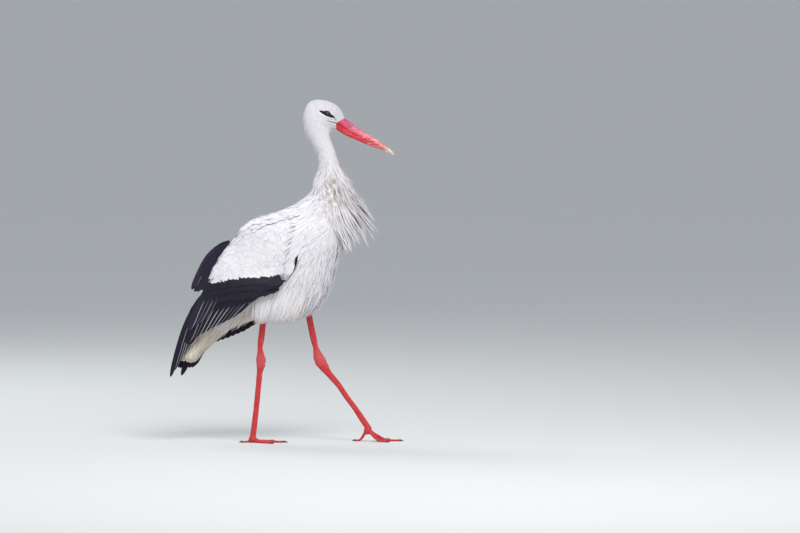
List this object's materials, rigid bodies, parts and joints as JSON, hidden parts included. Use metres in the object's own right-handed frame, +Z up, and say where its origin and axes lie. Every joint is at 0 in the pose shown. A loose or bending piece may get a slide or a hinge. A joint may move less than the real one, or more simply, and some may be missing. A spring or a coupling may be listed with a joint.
{
  "type": "white stork figure",
  "caption": "Life-size still figure of a white stork walking, neck raised, bill angled down, wings folded, standing on both feet.",
  "frame": {"origin": "on the floor, under the middle of the bounding box", "axes": "+Z up, +X the way the bird walks and faces, +Y the bird's left"},
  "size_m": [0.6528, 0.2276, 0.96],
  "materials": {
    "plumage_white": "soft matt feathers",
    "plumage_black": "dense black feathers with a faint sheen",
    "bill": "smooth satin horn",
    "leg": "scaly skin",
    "claw": "dull horn",
    "eye": "wet and glossy"
  },
  "bodies": {
    "root": {"eye_left": "eye", "eye_right": "eye", "head": "plumage_white", "bill_upper": "bill", "bill_lower": "bill", "neck_upper": "plumage_white", "neck_lower": "plumage_white", "trunk": "plumage_white", "tail": "plumage_white", "breast_plume": "plumage_white", "wing_left_coverts": "plumage_white", "wing_left_secondaries": "plumage_black", "wing_left_primaries": "plumage_black", "wing_left_tertials": "plumage_black", "wing_right_coverts": "plumage_white", "wing_right_secondaries": "plumage_black", "wing_right_primaries": "plumage_black", "wing_right_tertials": "plumage_black", "foot_left": "leg", "toe_left_3": "leg", "claw_left_3": "claw", "toe_left_2": "leg", "claw_left_2": "claw", "toe_left_4": "leg", "claw_left_4": "claw", "toe_left_1": "leg", "claw_left_1": "claw", "thigh_left": "plumage_white", "shank_left": "leg", "tarsus_left": "leg", "foot_right": "leg", "toe_right_3": "leg", "claw_right_3": "claw", "toe_right_2": "leg", "claw_right_2": "claw", "toe_right_4": "leg", "claw_right_4": "claw", "toe_right_1": "leg", "claw_right_1": "claw", "thigh_right": "plumage_white", "shank_right": "leg", "tarsus_right": "leg"}
  },
  "joints": []
}
